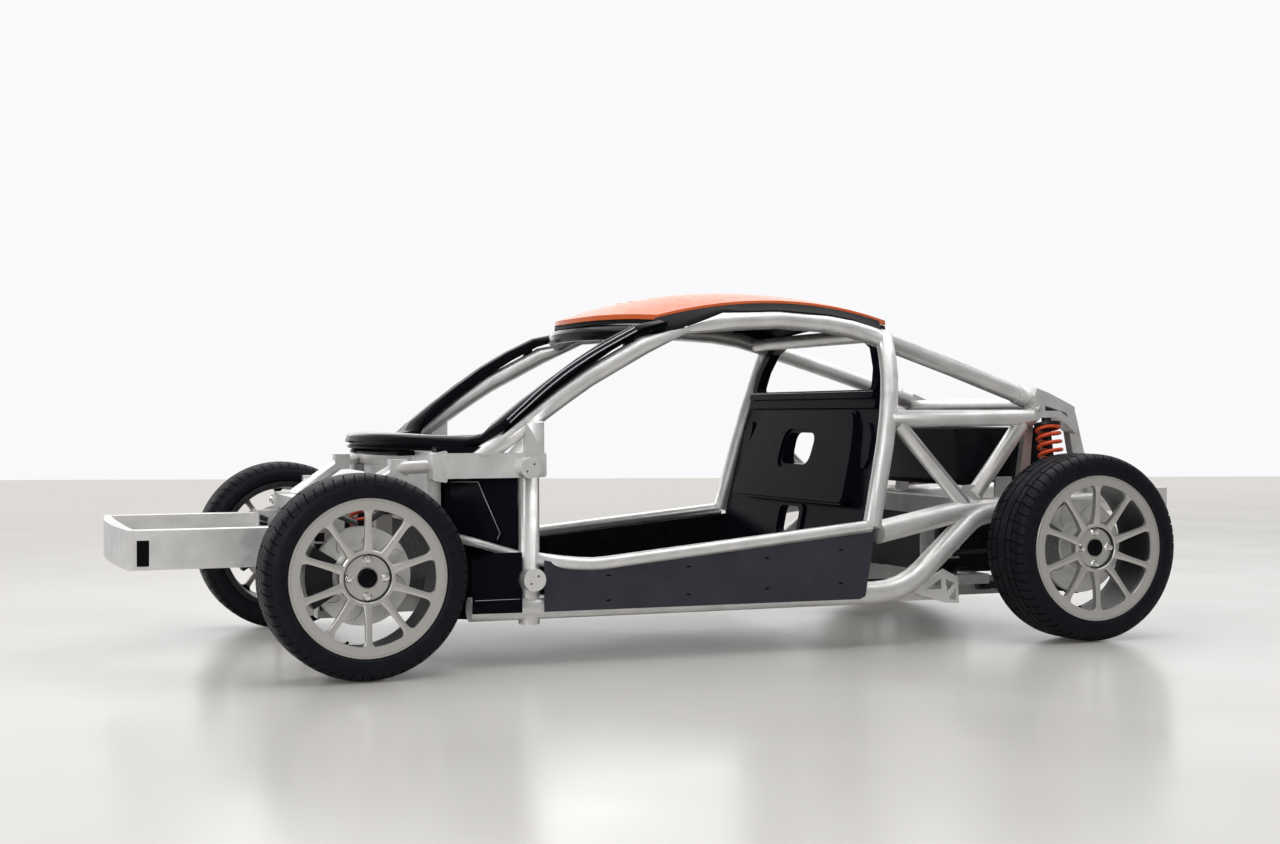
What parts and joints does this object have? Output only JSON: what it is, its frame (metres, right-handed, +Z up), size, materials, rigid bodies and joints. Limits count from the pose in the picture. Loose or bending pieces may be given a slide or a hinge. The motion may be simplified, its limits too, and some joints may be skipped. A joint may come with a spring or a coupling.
{
  "type": "rolling sports car chassis",
  "caption": "Open tubular-framed sports car rolling chassis with roof panel, door-less sides, crash structures, suspension and turning, steering road wheels.",
  "frame": {"origin": "centre of the object's bounding box at ground level", "axes": "+X to the rear of the car, +Y to its right-hand side, +Z up"},
  "size_m": [3.696, 1.621, 1.1979],
  "materials": {
    "frame_alloy": "satin",
    "black_gloss": "gloss",
    "navy_gloss": "gloss",
    "graphite": "satin",
    "roof_orange": "gloss",
    "dark_metal": "satin",
    "cast_alloy": "satin",
    "spring_paint": "gloss",
    "wheel_silver": "satin",
    "brake_iron": "machined",
    "tyre_rubber": "matte"
  },
  "bodies": {
    "chassis": {"frame_side_left": "frame_alloy", "frame_side_right": "frame_alloy", "cross_members": "frame_alloy", "front_subframe": "frame_alloy", "crash_rails": "frame_alloy", "bumper_beam": "frame_alloy", "hinge_bosses_left": "frame_alloy", "hinge_bosses_right": "frame_alloy", "shock_towers": "frame_alloy", "rear_beam": "frame_alloy", "floor_tub": "black_gloss", "seat_bulkhead": "black_gloss", "windscreen_surround": "black_gloss", "roof_underskin": "black_gloss", "rear_tub": "black_gloss", "footwell_panels": "navy_gloss", "sill_panel_left": "graphite", "sill_panel_right": "graphite", "roof_panel": "roof_orange", "transaxle": "dark_metal", "driveshafts": "dark_metal", "front_arms": "dark_metal", "front_dampers": "dark_metal", "rear_dampers": "dark_metal", "rear_upright_left": "dark_metal", "rear_upright_right": "dark_metal", "rear_arms": "cast_alloy", "rack_housing": "cast_alloy", "front_springs": "spring_paint", "rear_springs": "spring_paint"},
    "rack": {"rack_bar": "dark_metal"},
    "knuckle_left": {"knuckle_left": "dark_metal"},
    "knuckle_right": {"knuckle_right": "dark_metal"},
    "wheel_fl": {"rim_fl": "wheel_silver", "disc_fl": "brake_iron", "tyre_fl": "tyre_rubber"},
    "wheel_fr": {"rim_fr": "wheel_silver", "disc_fr": "brake_iron", "tyre_fr": "tyre_rubber"},
    "wheel_rl": {"rim_rl": "wheel_silver", "disc_rl": "brake_iron", "tyre_rl": "tyre_rubber"},
    "wheel_rr": {"rim_rr": "wheel_silver", "disc_rr": "brake_iron", "tyre_rr": "tyre_rubber"}
  },
  "joints": [
    {"name": "steer_left", "type": "hinge", "parent": "chassis", "child": "knuckle_left", "pos_m": [-1.18, -0.652, 0.2], "axis": [0.0662, 0.0993, 0.9929], "range_deg": [-26, 26]},
    {"name": "steer_right", "type": "hinge", "parent": "chassis", "child": "knuckle_right", "pos_m": [-1.18, 0.652, 0.2], "axis": [0.0662, -0.0993, 0.9929], "range_deg": [-26, 26]},
    {"name": "rack_slide", "type": "slide", "parent": "chassis", "child": "rack", "axis": [0, 1, 0], "range_m": [-0.05, 0.05]},
    {"name": "spin_fl", "type": "hinge", "parent": "knuckle_left", "child": "wheel_fl", "pos_m": [-1.18, -0.705, 0.302], "axis": [0, 1, 0], "continuous": true},
    {"name": "spin_fr", "type": "hinge", "parent": "knuckle_right", "child": "wheel_fr", "pos_m": [-1.18, 0.705, 0.302], "axis": [0, 1, 0], "continuous": true},
    {"name": "spin_rl", "type": "hinge", "parent": "chassis", "child": "wheel_rl", "pos_m": [1.31, -0.698, 0.318], "axis": [0, 1, 0], "continuous": true},
    {"name": "spin_rr", "type": "hinge", "parent": "chassis", "child": "wheel_rr", "pos_m": [1.31, 0.698, 0.318], "axis": [0, 1, 0], "continuous": true}
  ],
  "couplings": [
    {"joint": "steer_right", "follows": "steer_left", "ratio": 1},
    {"joint": "rack_slide", "follows": "steer_left", "m_per_rad": -0.11}
  ]
}
